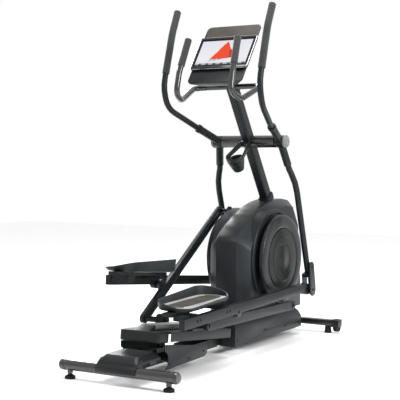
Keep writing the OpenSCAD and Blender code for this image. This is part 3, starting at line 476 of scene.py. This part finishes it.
def skinned(name, rings, materials, closed=False, choose=None, angle=40):
    """A closed skin over rings of equal length; closed joins last to first."""
    bm = bmesh.new()
    rows = [[bm.verts.new(p) for p in ring] for ring in rings]
    count = len(rows[0])
    pairs = list(zip(rows, rows[1:] + ([rows[0]] if closed else [])))
    for j, (low, high) in enumerate(pairs if closed else pairs[:len(rows) - 1]):
        for i in range(count):
            k = (i + 1) % count
            face = bm.faces.new((low[i], low[k], high[k], high[i]))
            face.material_index = choose(j) if choose else 0
    if not closed:
        bm.faces.new(rows[0][::-1]).material_index = choose(0) if choose else 0
        bm.faces.new(rows[-1]).material_index = choose(len(rows)) if choose else 0
    bmesh.ops.recalc_face_normals(bm, faces=bm.faces)
    mesh = bpy.data.meshes.new(name)
    for material in materials:
        mesh.materials.append(material)
    bm.to_mesh(mesh)
    bm.free()
    mesh.shade_smooth()
    mesh.set_sharp_from_angle(angle=math.radians(angle))
    return mesh


def turned_rings(profile, centre, side, count=96, first=0.0, sweep=360.0):
    """Rings for a profile of (radius, x) carried round the X axis."""
    steps = [math.radians(first + sweep * i / count) for i in range(count + (sweep < 360))]
    return [[(side * x, centre[1] + r * math.cos(a), centre[2] + r * math.sin(a))
             for r, x in profile] for a in steps]


def joined(name, meshes):
    """Several meshes with their materials as one mesh."""
    bm, materials = bmesh.new(), []
    for mesh in meshes:
        before = len(bm.faces)
        bm.from_mesh(mesh)
        bm.faces.ensure_lookup_table()
        for material in mesh.materials:
            if material not in materials:
                materials.append(material)
        for face in bm.faces[before:]:
            face.material_index = materials.index(mesh.materials[face.material_index])
    out = bpy.data.meshes.new(name)
    for material in materials:
        out.materials.append(material)
    bm.to_mesh(out)
    bm.free()
    return out


SIDES = {"left": -1, "right": 1}
crank = joints["crank_spin"]
print("crank centre", [round(v, 3) for v in crank])

# %% [markdown]
# ## Crank discs, their covers and the arch round them
# Each flank shows a large moulded disc that turns with the crank: a grey ABS ring
# with a rounded rim, and a satin black dish in its middle with concentric steps.
# A raised lip on the housing arches over it. All three are turned from a profile.

# %% Discs, dishes and arches
RING = [(0.1618, 0.149), (0.1618, 0.1600), (0.1655, 0.1672), (0.176, 0.1698),
        (0.205, 0.1700), (0.222, 0.1690), (0.2295, 0.1655), (0.2320, 0.1600),
        (0.2320, 0.1485)]
DISH = [(0.0005, 0.1712), (0.030, 0.1712), (0.034, 0.1700), (0.078, 0.1694),
        (0.081, 0.1712), (0.117, 0.1719), (0.121, 0.1700), (0.150, 0.1688),
        (0.158, 0.1686), (0.1612, 0.1665), (0.1612, 0.1605), (0.0005, 0.1605)]
LIP = [(0.2410, 0.112), (0.2410, 0.1265), (0.2430, 0.1285), (0.2590, 0.1280),
       (0.2620, 0.1250), (0.2620, 0.062)]
rings, dishes = [], []
for name, side in SIDES.items():
    rings.append(skinned("disc_ring", turned_rings(RING, crank, side), [disc_abs], True, angle=50))
    dishes.append(skinned("dish", turned_rings(DISH, crank, side), [dish_abs], True, angle=20))
    arch = skinned("lip", turned_rings(LIP, crank, side, 80, -35, 250), [slate_abs])
    new_piece("flank_arch_" + name, arch, "frame")
new_piece("crank_disc_rings", joined("crank_disc_rings", rings), "crank",
          ["crank_discs"])
new_piece("disc_dishes", joined("disc_dishes", dishes), "crank",
          ["disc_covers"])
print("disc faces", sum(len(m.polygons) for m in rings + dishes))

# %% [markdown]
# ## Frames that follow the linkage
# The leg, the pedal arm and the roller arm each have a local frame: out to the
# side, along the bar, and up from it. The joints give every origin and turn, so
# a piece drawn in that frame lands on its measured bar.

# %% Local frames of the linkage


def slope(p, q):
    """Turn about X that points the local Y axis from p to q."""
    return math.atan2(q.z - p.z, q.y - p.y)


def local_frame(origin, turn, side):
    """Matrix from (outwards, along, up) to the machine."""
    return (Matrix.Translation((0, origin.y, origin.z))
            @ Matrix.Rotation(turn, 4, "X") @ Matrix.Diagonal((side, 1, 1, 1)))


LEG, PEDAL, ROLLER = {}, {}, {}
for name, side in SIDES.items():
    P, B = joints["swing_" + name], joints["pedal_hinge_" + name]
    M, R = joints["roller_arm_hinge_" + name], joints["roller_spin_" + name]
    LEG[name] = local_frame(P, math.atan2(B.y - P.y, P.z - B.z), side)
    PEDAL[name] = local_frame(M, slope(M, B), side)
    ROLLER[name] = local_frame(R, slope(R, M) - math.atan2(0.042, 0.210), side)
print("pedal frame", [round(v, 3) for v in PEDAL["right"].translation])

# %% [markdown]
# ## Pedal trays and foot pads
# The tray is one thick moulding: a floor with a soft rim that stands high at the
# inner side and falls towards the outer side. The pad in it is two rubbers: a
# silver border with teeth and a brown-grey middle with ribs. Both are lofted from
# one rounded outline, and the teeth and ribs are grown by the trees above.

# %% Rounded outlines
PEDAL_X, PEDAL_AT, PEDAL_LOW = 0.155, -0.243, 0.062
HALF_ALONG, HALF_ACROSS = 0.215, 0.0925


def outline(inset, front=0.086, rear=0.060, per_corner=12):
    """Points of the tray's outline, pulled in by inset."""
    points = []
    for sx, sy, r in ((1, 1, front), (-1, 1, front), (-1, -1, rear), (1, -1, rear)):
        start = {(1, 1): 0, (-1, 1): 90, (-1, -1): 180, (1, -1): 270}[(sx, sy)]
        cx, cy = sx * (HALF_ACROSS - r), sy * (HALF_ALONG - r)
        for i in range(per_corner + 1):
            a = math.radians(start + 90 * i / per_corner)
            points.append((cx + (r - inset) * math.cos(a), cy + (r - inset) * math.sin(a)))
    return points


def rim_height(x, along):
    """Height of the rim over the tray's underside."""
    fall = 0.0556 - 0.2309 * (x + HALF_ACROSS)
    rise = fall + 0.035 * along + 0.010 * max(0.0, along) / HALF_ALONG
    return 0.022 + (rise - 0.022 if rise > 0.022 else (rise - 0.022) * 0.25)


print("outline points", len(outline(0)))

# %% Trays and pads
TRAY = [(0.024, 0.0, 0), (0.012, 0.003, 0), (0.004, 0.010, 0), (0.0015, -0.006, 1),
        (0.0, -0.003, 1), (0.0015, -0.0006, 1), (0.0045, 0.0, 1), (0.0075, -0.0008, 1),
        (0.009, -0.004, 1), (0.0105, 0.009, 0), (0.020, 0.0085, 0)]
PAD = [(0.012, 0.0080), (0.0112, 0.0100), (0.0112, 0.0185), (0.0122, 0.0197),
       (0.0165, 0.0200), (0.0170, 0.0192), (0.0285, 0.0192), (0.029, 0.0195), (0.05, 0.0195)]


def tray_ring(inset, lift, from_rim):
    """One ring of the tray, from the floor or from the rim down."""
    return [(x + PEDAL_X, y + PEDAL_AT, PEDAL_LOW + lift
             + (rim_height(x, y) if from_rim else 0.0)) for x, y in outline(inset)]


for name, side in SIDES.items():
    place = PEDAL[name]
    tray = [[place @ Vector(p) for p in tray_ring(*row)] for row in TRAY]
    new_piece("foot_tray_" + name, skinned("foot_tray_" + name, tray, [tray_abs], angle=60),
              "pedal_" + name, ["pedal_tray_" + name])
    rows = [[place @ Vector((x + PEDAL_X, y + PEDAL_AT, PEDAL_LOW + lift))
             for x, y in outline(inset)] for inset, lift in PAD]
    pad = skinned("pad", rows, [border_rubber, pad_rubber],
                  choose=lambda j: 1 if j > 4 else 0, angle=45)
    teeth, ribs = [], []
    edge_in, edge_out = outline(0.0400, per_corner=9), outline(0.0150, per_corner=9)
    loop = [(Vector(a), Vector(b)) for a, b in zip(edge_in, edge_out)]
    dense = []
    for (a0, b0), (a1, b1) in zip(loop, loop[1:] + loop[:1]):
        n = max(1, round((b1 - b0).length / 0.0150))
        dense += [(a0.lerp(a1, i / n), b0.lerp(b1, i / n)) for i in range(n)]
    for a, b in (t for t in dense if abs(t[1].x) > 0.055):
        teeth.append([(place @ Vector((p.x + PEDAL_X, p.y + PEDAL_AT, PEDAL_LOW + 0.0200)), r)
                      for p, r in ((a, 0.0012), (a.lerp(b, 0.25), 0.0026), (b, 0.0034))])
    for i in range(-7, 8):
        x = i * 0.0064
        reach = HALF_ALONG - 0.050 - max(0.0, abs(x) - 0.025) * 1.5
        ribs.append([(place @ Vector((x + PEDAL_X, y + PEDAL_AT, PEDAL_LOW + 0.0202)), 0.0013)
                     for y in (-reach, reach * 0.98)])
    whole = joined("foot_pad_" + name, [pad, tube("teeth", teeth, border_rubber, 6),
                                        tube("ribs", ribs, pad_rubber, 6)])
    new_piece("foot_pad_" + name, whole, "pedal_" + name, ["pedal_pad_" + name])
print("teeth for each pad", len(dense))

# %% [markdown]
# ## Grips
# Nitrile rubber grips are moulded as a sleeve with shallow ribs and a rounded end
# cap. The sleeve follows the tube inside it, so it is a round section along the
# tube's path, and its ribs are only a small change of girth.

# %% Smooth paths and ribbed girths
HAND_GRIP_R, FIXED_GRIP_R = 0.019, 0.018


def bent(corners, bends, step=0.0022):
    """Evenly spaced points on a path with round bends, as the tube is bent."""
    path = [corners[0]]
    for i in range(1, len(corners) - 1):
        u = (corners[i] - corners[i - 1]).normalized()
        v = (corners[i + 1] - corners[i]).normalized()
        turn, r = u.angle(v), bends[i - 1]
        w = (v - u * u.dot(v)).normalized()
        c = corners[i] - u * r * math.tan(turn / 2) + w * r
        path += [c + r * (u * math.sin(turn * k / 24) - w * math.cos(turn * k / 24))
                 for k in range(25)]
    path.append(corners[-1])
    out, carry = [path[0]], 0.0
    for a, b in zip(path, path[1:]):
        span = (b - a).length
        while carry + step <= span:
            carry += step
            out.append(a.lerp(b, carry / span))
        carry -= span
    return out + [path[-1]]


def sleeve(path, radius, rib=0.0007, pitch=0.009, smooth=0.018):
    """(point, radius) along a grip: ribs in the middle, round at its far end."""
    total = sum((b - a).length for a, b in zip(path, path[1:]))
    done, out = 0.0, []
    for i, p in enumerate(path):
        if i:
            done += (p - path[i - 1]).length
        left = total - done
        r = radius - rib
        if smooth < done < total - 0.03:
            r += rib * (0.5 + 0.5 * math.cos(2 * math.pi * done / pitch)) ** 0.5
        else:
            r += rib
        if left < radius * 0.5:
            r *= max(0.12, math.sqrt(1 - (1 - left / (radius * 0.5)) ** 2 * 0.86))
        out.append((p, r))
    return out


print("a 300 mm grip has",
      len(sleeve(bent([Vector(), Vector((0, 0, 0.3))], []), HAND_GRIP_R)), "rings")

# %% Hand grips and fixed grips
for name, side in SIDES.items():
    corners = [LEG[name] @ Vector(p) for p in
               ((0.272, -0.278, 0.444), (0.270, -0.160, 0.626), (0.270, -0.074, 0.724))]
    grip = tube("swing_grip_" + name, [sleeve(bent(corners, [0.3]), HAND_GRIP_R)], grip_rubber, 24)
    new_piece("swing_grip_" + name, grip, "swing_arm_" + name,
              ["hand_grip_" + name])
fixed = []
for side in (-1, 1):
    low = Vector((side * 0.150, 0.764 - MID, 1.442))
    high = Vector((side * 0.142, 0.815 - MID, 1.564))
    top = high + (high - low).normalized() * 0.0177
    fixed.append(sleeve(bent([low, top], []), FIXED_GRIP_R))
new_piece("fixed_grips", tube("fixed_grips", fixed, grip_rubber, 24), "frame",
          ["handlebar_grips"])
print("grips done")

# %% [markdown]
# ## Bottle holder
# The holder is one polypropylene moulding that leans with the post: a band that
# runs forward to the post over a tapered cup. Its measured shell is right, so it
# only gets soft edges. A bead round its mouth and the ribs down its cup stiffen
# it, and both are round sections along paths in the holder's own frame.

# %% Mouth bead and cup ribs
soften("bottle_holder", 0.8, charcoal_abs, segments=1)
lean = math.radians(33.2)
up_post = Vector((0, -math.sin(lean), math.cos(lean)))
post_foot = joints["swing_right"] + Vector((0, -0.005, -0.002)) - up_post * 0.430
post_foot.x = 0.0
HOLDER = (Matrix.Translation(post_foot) @ Matrix.Rotation(lean, 4, "X")
          @ Matrix.Translation((0, -0.031 - 0.141, 0.447)))
MOUTH_R, MOUTH_Z, BEAD_R, BAND_X, BAND_Y = 0.0455, 0.0122, 0.0019, 0.0262, 0.134
half_turn = [math.pi + math.pi * i / 24 for i in range(25)]
mouth = ([(-BAND_X, BAND_Y)] + [(MOUTH_R * math.cos(a), MOUTH_R * math.sin(a)) for a in half_turn]
         + [(BAND_X, BAND_Y)])
mouth = [(HOLDER @ Vector((x, y, MOUTH_Z)), BEAD_R) for x, y in mouth]
ribs = []
for i in range(12):
    a = 2 * math.pi * (i + 0.5) / 12
    way = Vector((math.cos(a), math.sin(a), 0))
    ribs.append([(HOLDER @ (way * r + Vector((0, 0, z))), g) for r, z, g in (
        (0.0448, -0.016, 0.0012), (0.0395, -0.034, 0.0016), (0.0270, -0.076, 0.0012))])
trim = joined("holder_trim", [tube("mouth", [mouth], charcoal_abs, 10),
                              tube("ribs", ribs, charcoal_abs, 8)])
new_piece("holder_trim", trim, "frame")
print("holder trim faces", len(trim.polygons))

# %% [markdown]
# ## Display
# The display is a lit panel behind glass. Its picture is a plain snow field under
# a pale sky with one peak in evening light. It is drawn by nodes in the panel's
# own metres, and a Mapping node turns the machine's axes into the panel's.

# %% A lit picture
PANEL_W, PANEL_H = 0.310, 0.174
display = bpy.data.materials.new("lit_display_glass")
display.use_nodes = True
tree = display.node_tree
tree.nodes.clear()
place = add(tree, "ShaderNodeTexCoord").outputs["Object"]
panel = add(tree, "ShaderNodeMapping", {
    "Vector": place, "Location": CONSOLE.translation,
    "Rotation": (CONSOLE_LEAN, 0, 0)}, vector_type="TEXTURE").outputs[0]
axes = add(tree, "ShaderNodeSeparateXYZ", {"Vector": panel})
across, upward = axes.outputs["X"], axes.outputs["Z"]


def sums(kind, a, b=0.0, c=0.0):
    """One Math node on up to three values."""
    return add(tree, "ShaderNodeMath", {0: a, 1: b, 2: c}, operation=kind).outputs[0]


def over(mask, low, high):
    """The high colour where the mask is one."""
    return add(tree, "ShaderNodeMix", {0: mask, 6: low, 7: high}, data_type="RGBA").outputs[2]


jag = add(tree, "ShaderNodeTexNoise", {
    "Vector": panel, "Scale": 45.0, "Detail": 4.0}).outputs["Fac"]
sky_tint = over(sums("MULTIPLY_ADD", upward, 5.0, 0.45), linear("#f4f3f8"), linear("#e3e4ec"))
slope_from = sums("ABSOLUTE", sums("SUBTRACT", across, 0.004))
peak_line = sums("MULTIPLY_ADD", slope_from, -1.5, 0.070)
peak_line = sums("ADD", peak_line, sums("MULTIPLY_ADD", jag, 0.030, -0.015))
peak = sums("LESS_THAN", upward, peak_line)
lit = sums("GREATER_THAN", sums("ADD", upward, sums("MULTIPLY", jag, 0.05)), -0.020)
rock = over(lit, linear("#c9c8cf"), linear("#f04a16"))
shade = sums("GREATER_THAN", sums("ADD", across, sums("MULTIPLY", jag, 0.03)), 0.050)
rock = over(sums("MULTIPLY", shade, lit), rock, linear("#c4340c"))
scene_tint = over(peak, sky_tint, rock)
snow_line = sums("MULTIPLY_ADD", sums("SINE", sums("MULTIPLY", across, 22.0)), 0.010, -0.046)
snow = sums("LESS_THAN", upward, snow_line)
scene_tint = over(snow, scene_tint, linear("#eceaf0"))
bar = sums("LESS_THAN", upward, -0.068)
scene_tint = over(bar, scene_tint, linear("#b6b6b9"))
tile = sums("LESS_THAN", sums("FRACT", sums("MULTIPLY", across, 24.0)), 0.4)
scene_tint = over(sums("MULTIPLY", bar, tile), scene_tint, linear("#5b5d62"))
# A black printed border runs round the lit picture, under the same glass.
in_width = sums("LESS_THAN", sums("ABSOLUTE", across), PANEL_W / 2 - 0.010)
in_height = sums("LESS_THAN", sums("ABSOLUTE", upward), PANEL_H / 2 - 0.009)
scene_tint = over(sums("MULTIPLY", in_width, in_height), linear("#050506"), scene_tint)
shader = add(tree, "ShaderNodeBsdfPrincipled", {
    "Base Color": linear("#050506"), "Roughness": 0.22, "Emission Color": scene_tint,
    "Emission Strength": 0.95, "Specular IOR Level": 0.15})
add(tree, "ShaderNodeOutputMaterial", {"Surface": shader.outputs[0]})
data = frame["nodes"]["console_screen"].data
data.materials.clear()
data.materials.append(display)
print("display", PANEL_W, "by", PANEL_H)

# %% Chrome line round the bezel
half_w, low_z, high_z, r = 0.1625, -0.1075, 0.1005, 0.012
loop = []
for sx, z0, start in ((1, high_z, 0), (-1, high_z, 90), (-1, low_z, 180), (1, low_z, 270)):
    cz = z0 - r if z0 > 0 else z0 + r
    for i in range(9):
        a = math.radians(start + 90 * i / 8)
        loop.append((CONSOLE @ Vector((sx * (half_w - r) + r * math.cos(a), -0.0072,
                                       cz + r * math.sin(a))), 0.0012))
new_piece("bezel_trim", tube("bezel_trim", [loop], chrome, 8, True), "console")
print("trim points", len(loop))

# %% [markdown]
# ## Screws and collars
# Covers are held by hex screws, and the joints of the linkage by larger ones.
# They are the same small head, so the second tree sets them all, one mesh for
# each body. A short collar covers the end of each pivot sleeve.

# %% Screws on each body
LEG_FACE, BAR_FACE, COVER_FACE = 0.2700, 0.2530, 0.1202
for name, side in SIDES.items():
    leg, bar, arm = LEG[name], PEDAL[name], ROLLER[name]
    out = leg.to_3x3() @ Vector((1, 0, 0))
    heads = [(leg @ Vector((LEG_FACE, y, z)), out) for y, z in ((0.002, -0.825), (0.020, -0.700))]
    new_piece("leg_screws_" + name, screws("leg_screws_" + name, heads, black_screw, 7.0, 2.2),
              "swing_arm_" + name)
    heads = [(bar @ Vector((BAR_FACE, y, 0.018)), out)
             for y in (-0.380, -0.352, -0.115, -0.087)]
    heads.append((bar @ Vector((BAR_FACE, 0.0, 0.0)), out))
    new_piece("bar_screws_" + name, screws("bar_screws_" + name, heads, black_screw, 6.0, 2.0),
              "pedal_" + name)
    heads = [(arm @ Vector((0.2142, 0.0, 0.0)), out), (arm @ Vector((0.2172, 0.880, 0.0)), out)]
    new_piece("arm_screws_" + name, screws("arm_screws_" + name, heads, black_screw, 9.0, 2.6),
              "roller_arm_" + name)
heads = []
for side in (-1, 1):
    heads += [((side * COVER_FACE, y - MID, z), (side, 0, 0)) for y, z in (
        (0.860, 0.070), (0.860, 0.135), (1.165, 0.084), (1.400, 0.070), (1.565, 0.070),
        (0.230, 0.062), (0.400, 0.060), (0.530, 0.075))]
new_piece("cover_screws", screws("cover_screws", heads, black_screw, 5.0, 1.6), "frame")
print("cover screws", len(heads))

# %% Collars at the pivot sleeves
SOCKET_END, COLLAR_R = Vector((0.215, -0.142, 0.116)), 0.0225
for name, side in SIDES.items():
    hub = Vector((0.1815, 0, 0))
    way = (SOCKET_END - hub).normalized()
    band = [(LEG[name] @ (SOCKET_END + way * s), g) for s, g in (
        (-0.020, COLLAR_R - 0.0022), (-0.018, COLLAR_R), (-0.002, COLLAR_R),
        (0.0005, COLLAR_R - 0.003))]
    new_piece("sleeve_collars_" + name, tube("sleeve_collars_" + name, [band], charcoal_abs, 28),
              "swing_arm_" + name)
print("collars done")

# %% [markdown]
# ## Floor
# The studio floor is pale seamless card. It has to be nearly white, or the
# horizon would show behind the machine, and it only carries the soft shadow.

# %% Floor card
card = grained("white_studio_card", "#f3f3f3", "#f7f7f7", 0.7, 6.0, 0.01)
floor_mesh = bpy.data.meshes.new("studio_floor")
HALF_FLOOR = 7.5
floor_mesh.from_pydata([(sx * HALF_FLOOR, sy * HALF_FLOOR, 0) for sx, sy in (
    (-1, -1), (1, -1), (1, 1), (-1, 1))], [], [(0, 1, 2, 3)])
floor_mesh.materials.append(card)
floor = bpy.data.objects.new("studio_floor", floor_mesh)
bpy.context.scene.collection.objects.link(floor)
floor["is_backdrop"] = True
print("floor", floor.dimensions.x, "m wide")

# %% Sizes, and the end
low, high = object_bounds()
